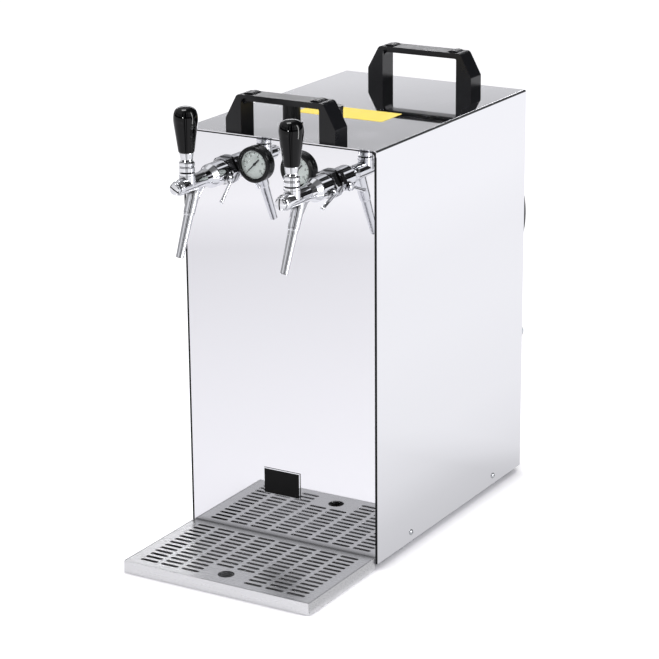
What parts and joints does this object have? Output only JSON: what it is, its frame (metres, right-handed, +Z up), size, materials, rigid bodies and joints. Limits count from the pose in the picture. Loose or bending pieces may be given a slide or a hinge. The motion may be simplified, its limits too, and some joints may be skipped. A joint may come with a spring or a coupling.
{
  "type": "draft beer dispenser",
  "caption": "Over-counter draft beer cooler: polished steel cabinet, paired lever taps with flow adjusters, gauges, regulators, slotted drip tray and rear fan guard.",
  "frame": {"origin": "on the counter, under the middle of the width and of the whole depth from the drip tray to the fan guard", "axes": "+Z up, +X to the right as seen from the front, -Y towards the user"},
  "size_m": [0.3074, 0.652, 0.6449],
  "materials": {
    "polished_steel": "mirror-polished stainless sheet",
    "brushed_sheet": "plain rolled stainless sheet",
    "chrome": "chrome-plated brass",
    "black_moulding": "semi-gloss black moulding",
    "black_grip": "satin black moulding",
    "black_rubber": "matt",
    "dial_card": "matt printed",
    "needle": "matt",
    "lens": "clear polished",
    "aluminium": "milled",
    "foam": "closed-cell foam",
    "copper_tube": "drawn copper tube",
    "enamel_black": "black enamel",
    "grey_acetal": "moulded acetal",
    "hose": "extruded polyethylene"
  },
  "bodies": {
    "cabinet": {"cover": "polished_steel", "front_panel": "polished_steel", "front_seal": "black_rubber", "base_tray": "brushed_sheet", "rear_panel": "brushed_sheet", "feet": "black_rubber", "panel_screws": "brushed_sheet", "handle_front": "black_grip", "handle_rear": "black_grip", "handle_screws": "brushed_sheet", "tap_shanks": "chrome", "shank_locknuts": "chrome", "coupling_nuts": "chrome", "nose_caps": "chrome", "tap_body_left": "chrome", "tap_body_right": "chrome", "spout_left": "chrome", "spout_right": "chrome", "gauge_cases": "black_moulding", "gauge_dials": "dial_card", "gauge_lenses": "lens", "regulators": "chrome", "insulation_box": "foam", "cooling_plates": "aluminium", "beer_coils": "brushed_sheet", "evaporator_coil": "copper_tube", "compressor": "enamel_black", "compressor_grommets": "black_rubber", "condenser": "aluminium", "refrigerant_lines": "copper_tube", "fan_motor": "enamel_black", "fan_bracket": "brushed_sheet", "fan_guard": "black_grip", "beer_hoses": "hose", "gas_hoses": "black_rubber", "line_fittings": "grey_acetal", "mains_inlet": "black_moulding", "mains_switch": "black_moulding", "thermostat": "brushed_sheet"},
    "lever_left": {"tap_lever_left": "chrome", "lever_ferrule_left": "chrome", "tap_handle_left": "black_moulding"},
    "plunger_left": {"tap_plunger_left": "chrome"},
    "flow_lever_left": {"flow_lever_left": "chrome"},
    "flow_cone_left": {"flow_cone_left": "chrome"},
    "needle_left": {"gauge_needle_left": "needle"},
    "knob_left": {"regulator_knob_left": "black_grip"},
    "lever_right": {"tap_lever_right": "chrome", "lever_ferrule_right": "chrome", "tap_handle_right": "black_moulding"},
    "plunger_right": {"tap_plunger_right": "chrome"},
    "flow_lever_right": {"flow_lever_right": "chrome"},
    "flow_cone_right": {"flow_cone_right": "chrome"},
    "needle_right": {"gauge_needle_right": "needle"},
    "knob_right": {"regulator_knob_right": "black_grip"},
    "tray": {"drip_tray": "polished_steel"},
    "grille": {"drip_grille": "polished_steel"},
    "fan": {"fan_rotor": "black_grip"},
    "rocker": {"mains_rocker": "black_moulding"},
    "thermostat_knob": {"thermostat_knob": "black_grip"}
  },
  "joints": [
    {"name": "tap_lever_left", "type": "hinge", "parent": "cabinet", "child": "lever_left", "pos_m": [-0.081, -0.245, 0.5505], "axis": [1, 0, 0], "range_deg": [0, 24]},
    {"name": "plunger_left", "type": "slide", "parent": "cabinet", "child": "plunger_left", "axis": [0, 1, 0], "range_m": [0, 0.0052]},
    {"name": "flow_lever_left", "type": "hinge", "parent": "cabinet", "child": "flow_lever_left", "pos_m": [-0.081, -0.17, 0.532], "axis": [1, 0, 0], "range_deg": [-25, 45]},
    {"name": "flow_cone_left", "type": "slide", "parent": "cabinet", "child": "flow_cone_left", "axis": [0, 1, 0], "range_m": [-0.00224, 0.00125]},
    {"name": "needle_left", "type": "hinge", "parent": "cabinet", "child": "needle_left", "pos_m": [-0.0337, -0.153, 0.5518], "axis": [0, 1, 0], "range_deg": [0, 270], "stiffness_Nm_per_rad": 0.0005},
    {"name": "regulator_knob_left", "type": "hinge", "parent": "cabinet", "child": "knob_left", "pos_m": [-0.0337, -0.056, 0.5935], "axis": [0, 0, 1], "range_deg": [-360, 360]},
    {"name": "tap_lever_right", "type": "hinge", "parent": "cabinet", "child": "lever_right", "pos_m": [0.081, -0.245, 0.5505], "axis": [1, 0, 0], "range_deg": [0, 24]},
    {"name": "plunger_right", "type": "slide", "parent": "cabinet", "child": "plunger_right", "axis": [0, 1, 0], "range_m": [0, 0.0052]},
    {"name": "flow_lever_right", "type": "hinge", "parent": "cabinet", "child": "flow_lever_right", "pos_m": [0.081, -0.17, 0.532], "axis": [1, 0, 0], "range_deg": [0, 70]},
    {"name": "flow_cone_right", "type": "slide", "parent": "cabinet", "child": "flow_cone_right", "axis": [0, 1, 0], "range_m": [-0.00344, 0]},
    {"name": "needle_right", "type": "hinge", "parent": "cabinet", "child": "needle_right", "pos_m": [0.0337, -0.153, 0.5518], "axis": [0, 1, 0], "range_deg": [0, 270], "stiffness_Nm_per_rad": 0.0005},
    {"name": "regulator_knob_right", "type": "hinge", "parent": "cabinet", "child": "knob_right", "pos_m": [0.0337, -0.056, 0.5935], "axis": [0, 0, 1], "range_deg": [-360, 360]},
    {"name": "fan_spin", "type": "hinge", "parent": "cabinet", "child": "fan", "pos_m": [0, 0.297, 0.3965], "axis": [0, 1, 0], "continuous": true},
    {"name": "thermostat_turn", "type": "hinge", "parent": "cabinet", "child": "thermostat_knob", "pos_m": [0.07, 0.301, 0.1045], "axis": [0, 1, 0], "range_deg": [0, 270]},
    {"name": "mains_rocker", "type": "hinge", "parent": "cabinet", "child": "rocker", "pos_m": [0, 0.294, 0.1045], "axis": [1, 0, 0], "range_deg": [0, 20]},
    {"name": "tray_slide", "type": "slide", "parent": "cabinet", "child": "tray", "axis": [0, -1, 0], "range_m": [0, 0.15]},
    {"name": "grille_lift", "type": "slide", "parent": "tray", "child": "grille", "axis": [0, 0, 1], "range_m": [0, 0.03]}
  ],
  "couplings": [
    {"joint": "plunger_left", "follows": "tap_lever_left", "m_per_rad": 0.012},
    {"joint": "flow_lever_left", "follows": "flow_cone_left", "rad_per_m": -350.4},
    {"joint": "plunger_right", "follows": "tap_lever_right", "m_per_rad": 0.012},
    {"joint": "flow_lever_right", "follows": "flow_cone_right", "rad_per_m": -355.1}
  ]
}
